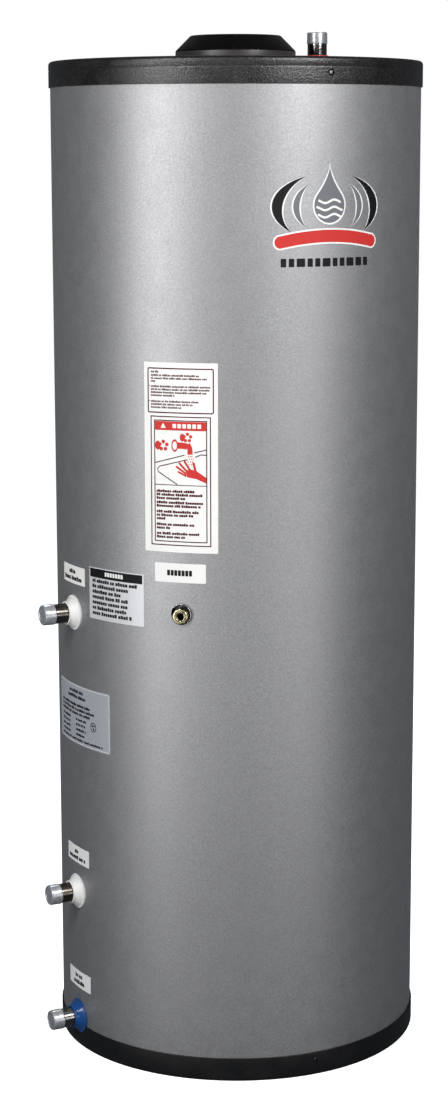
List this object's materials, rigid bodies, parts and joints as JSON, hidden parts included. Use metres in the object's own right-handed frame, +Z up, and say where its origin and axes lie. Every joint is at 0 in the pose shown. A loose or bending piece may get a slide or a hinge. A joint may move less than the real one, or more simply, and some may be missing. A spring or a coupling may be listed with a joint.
{
  "type": "tank water heater",
  "caption": "Tall floor-standing water heater: a coil-heated tank in a foam and steel jacket, with black end covers, side boiler pipes, a sensor port and a top outlet.",
  "frame": {"origin": "centre of the base pan's underside, where the tank's vertical axis meets the floor", "axes": "+Z up along the tank's axis; the front with the emblem faces -Y; the boiler supply, boiler return and cold pipes point to -X; the hot outlet is on the +X side of the top"},
  "size_m": [0.6701, 0.6166, 1.6978],
  "materials": {
    "jacket_paint": "satin",
    "pan_plastic": "satin",
    "cover_plastic": "matte",
    "lid_plastic": "matte",
    "stainless": "satin",
    "pipe_steel": "polished",
    "plain_steel": "satin",
    "screw_zinc": "satin",
    "screw_black": "satin",
    "brass": "satin",
    "foam": "matte",
    "white_plastic": "satin",
    "blue_plastic": "satin",
    "red_plastic": "satin",
    "cap_plastic": "satin",
    "label_paper": "satin",
    "label_foil": "satin",
    "emblem_film": "gloss"
  },
  "bodies": {
    "heater": {"base_pan": "pan_plastic", "base_screw_1": "screw_black", "base_screw_2": "screw_black", "base_screw_3": "screw_black", "jacket": "jacket_paint", "jacket_seam_strip": "jacket_paint", "top_cover": "cover_plastic", "top_cover_screw_1": "screw_zinc", "top_cover_screw_2": "screw_zinc", "top_cover_screw_3": "screw_zinc", "side_insulation": "foam", "top_insulation": "foam", "bottom_insulation": "foam", "tank_shell": "stainless", "tank_top_head": "stainless", "tank_bottom_head": "stainless", "tank_support_ring": "plain_steel", "coil_tube": "stainless", "coil_support_1": "plain_steel", "coil_support_2": "plain_steel", "coil_support_3": "plain_steel", "supply_nipple": "pipe_steel", "return_nipple": "pipe_steel", "cold_inlet_pipe": "pipe_steel", "hot_outlet_nipple": "pipe_steel", "supply_collar": "white_plastic", "return_collar": "white_plastic", "cold_collar": "blue_plastic", "hot_collar": "red_plastic", "control_sleeve": "stainless", "control_spud": "stainless", "control_well": "brass", "relief_port_coupling": "stainless", "relief_port_plug": "brass", "warning_label": "label_paper", "caution_label": "label_foil", "control_label": "label_paper", "supply_label": "label_paper", "return_label": "label_paper", "cold_label": "label_paper", "rating_plate": "label_foil", "front_emblem": "emblem_film"},
    "lid": {"access_lid": "lid_plastic"},
    "supply_cap": {"supply_thread_cap": "cap_plastic"},
    "return_cap": {"return_thread_cap": "cap_plastic"},
    "cold_cap": {"cold_thread_cap": "cap_plastic"},
    "hot_cap": {"hot_thread_cap": "cap_plastic"}
  },
  "joints": [
    {"name": "lid_lift", "type": "slide", "parent": "heater", "child": "lid", "axis": [0, 0, 1], "range_m": [0, 0.12]},
    {"name": "supply_cap_pull", "type": "slide", "parent": "heater", "child": "supply_cap", "axis": [-1, 0, 0], "range_m": [0, 0.05]},
    {"name": "return_cap_pull", "type": "slide", "parent": "heater", "child": "return_cap", "axis": [-1, 0, 0], "range_m": [0, 0.05]},
    {"name": "cold_cap_pull", "type": "slide", "parent": "heater", "child": "cold_cap", "axis": [-1, 0, 0], "range_m": [0, 0.05]},
    {"name": "hot_cap_pull", "type": "slide", "parent": "heater", "child": "hot_cap", "axis": [0, 0, 1], "range_m": [0, 0.05]}
  ]
}
